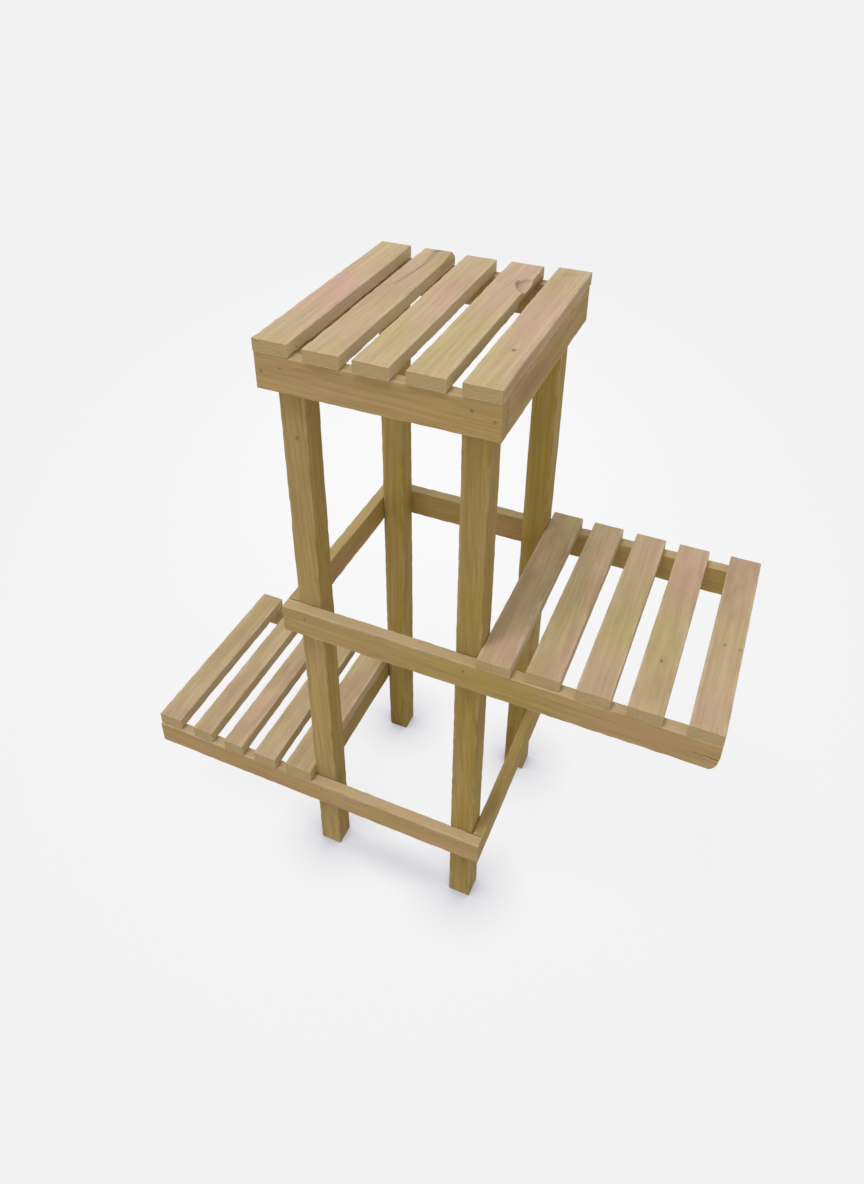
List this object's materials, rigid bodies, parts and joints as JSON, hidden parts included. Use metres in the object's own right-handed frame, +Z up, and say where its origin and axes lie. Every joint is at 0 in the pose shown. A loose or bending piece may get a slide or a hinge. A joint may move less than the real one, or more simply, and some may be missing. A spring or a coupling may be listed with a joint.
{
  "type": "tiered plant stand",
  "caption": "Free-standing timber plant stand: square legs carry a slatted top and slatted side shelves that reach out at lower heights, all nailed together.",
  "frame": {"origin": "on the floor, under the middle of the stand's overall width and depth", "axes": "+Z up, +X along the shelves towards the higher, right-hand shelf, +Y from the front to the back"},
  "size_m": [0.84, 0.3366, 0.914],
  "materials": {
    "slat_wood": "rough sawn, unfinished",
    "rail_wood": "rough sawn, unfinished",
    "leg_wood": "rough sawn, unfinished",
    "nail_steel": "dulled wire nail"
  },
  "bodies": {
    "root": {"left_shelf_cross_left": "rail_wood", "left_shelf_cross_right": "rail_wood", "left_shelf_rail_back": "rail_wood", "left_shelf_rail_front": "rail_wood", "left_shelf_slat_1": "slat_wood", "left_shelf_slat_2": "slat_wood", "left_shelf_slat_3": "slat_wood", "left_shelf_slat_4": "slat_wood", "left_shelf_slat_5": "slat_wood", "leg_back_left": "leg_wood", "leg_back_right": "leg_wood", "leg_front_left": "leg_wood", "leg_front_right": "leg_wood", "right_shelf_cross_left": "rail_wood", "right_shelf_cross_right": "rail_wood", "right_shelf_rail_back": "rail_wood", "right_shelf_rail_front": "rail_wood", "right_shelf_slat_1": "slat_wood", "right_shelf_slat_2": "slat_wood", "right_shelf_slat_3": "slat_wood", "right_shelf_slat_4": "slat_wood", "right_shelf_slat_5": "slat_wood", "top_rail_back": "rail_wood", "top_rail_front": "rail_wood", "top_side_left": "rail_wood", "top_side_right": "rail_wood", "top_slat_1": "slat_wood", "top_slat_2": "slat_wood", "top_slat_3": "slat_wood", "top_slat_4": "slat_wood", "top_slat_5": "slat_wood", "nail_left_shelf_cross_left_back": "nail_steel", "nail_left_shelf_cross_left_front": "nail_steel", "nail_left_shelf_cross_right_back": "nail_steel", "nail_left_shelf_cross_right_front": "nail_steel", "nail_left_shelf_rail_back_left": "nail_steel", "nail_left_shelf_rail_back_right": "nail_steel", "nail_left_shelf_rail_front_left": "nail_steel", "nail_left_shelf_rail_front_right": "nail_steel", "nail_right_shelf_cross_left_back": "nail_steel", "nail_right_shelf_cross_left_front": "nail_steel", "nail_right_shelf_cross_right_back": "nail_steel", "nail_right_shelf_cross_right_front": "nail_steel", "nail_right_shelf_rail_back_left": "nail_steel", "nail_right_shelf_rail_back_right": "nail_steel", "nail_right_shelf_rail_front_left": "nail_steel", "nail_right_shelf_rail_front_right": "nail_steel", "nail_top_corner_back_left": "nail_steel", "nail_top_corner_back_right": "nail_steel", "nail_top_corner_front_left": "nail_steel", "nail_top_corner_front_right": "nail_steel", "nail_top_rail_back_left": "nail_steel", "nail_top_rail_back_right": "nail_steel", "nail_top_rail_front_left": "nail_steel", "nail_top_rail_front_right": "nail_steel", "nail_top_side_left_back": "nail_steel", "nail_top_side_left_front": "nail_steel", "nail_top_side_right_back": "nail_steel", "nail_top_side_right_front": "nail_steel"}
  },
  "joints": []
}
